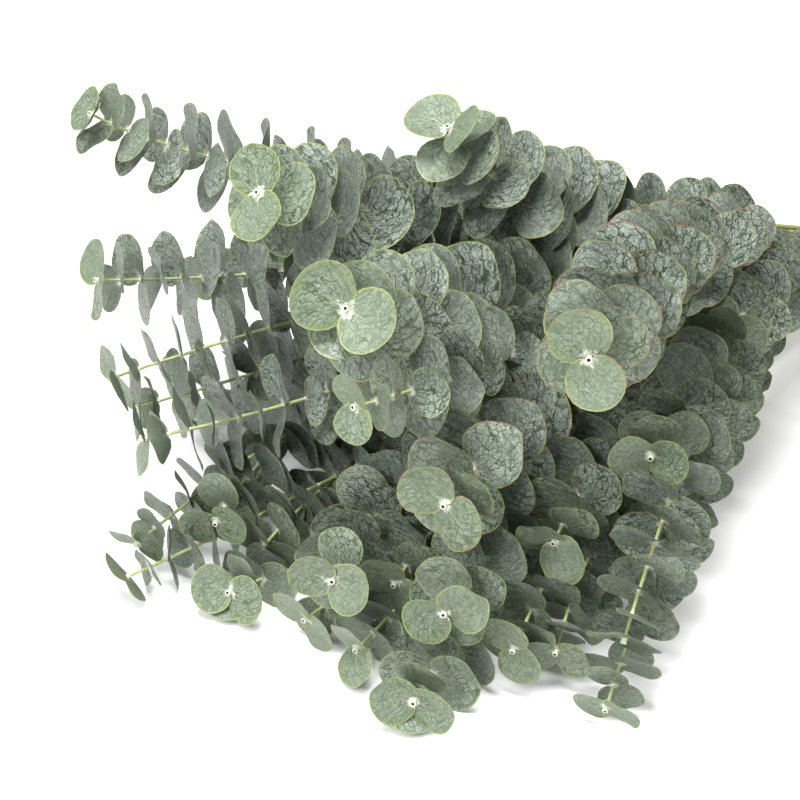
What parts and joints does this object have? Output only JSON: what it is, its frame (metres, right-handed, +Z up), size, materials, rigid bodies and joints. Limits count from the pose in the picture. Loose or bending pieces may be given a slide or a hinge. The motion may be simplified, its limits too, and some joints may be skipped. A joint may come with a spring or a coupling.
{
  "type": "bunch of eucalyptus",
  "caption": "Cut bunch of round-leaved, blue-green eucalyptus sprigs, banded near the cut ends and lying on its side, for floral and table decoration.",
  "frame": {"origin": "under the middle of the whole bunch, at the level of the surface that it lies on", "axes": "+Z up; +X along the bunch from its leafy tips to its cut ends; +Y to the side"},
  "size_m": [0.7634, 0.4986, 0.2716],
  "materials": {
    "leaf": "dull blue-green leaf with a pale waxy bloom, fine veins and a thin yellow-green margin",
    "stem": "smooth young yellow-green bark, browner towards the cut end, pale cut wood",
    "band": "plain natural rubber, satin"
  },
  "bodies": {
    "root": {"sprig_01": "leaf", "sprig_02": "leaf", "sprig_03": "leaf", "sprig_04": "leaf", "sprig_05": "leaf", "sprig_06": "leaf", "sprig_07": "leaf", "sprig_08": "leaf", "sprig_09": "leaf", "sprig_10": "leaf", "sprig_11": "leaf", "sprig_12": "leaf", "sprig_13": "leaf", "sprig_14": "leaf", "sprig_15": "leaf", "sprig_16": "leaf", "sprig_17": "leaf", "sprig_18": "leaf", "sprig_19": "leaf", "sprig_20": "leaf", "sprig_21": "leaf", "sprig_22": "leaf", "sprig_23": "leaf", "sprig_24": "leaf", "sprig_25": "leaf", "sprig_26": "leaf", "sprig_27": "leaf", "sprig_28": "leaf", "sprig_29": "leaf", "sprig_30": "leaf", "sprig_31": "leaf", "sprig_32": "leaf", "rubber_band": "band"}
  },
  "joints": []
}
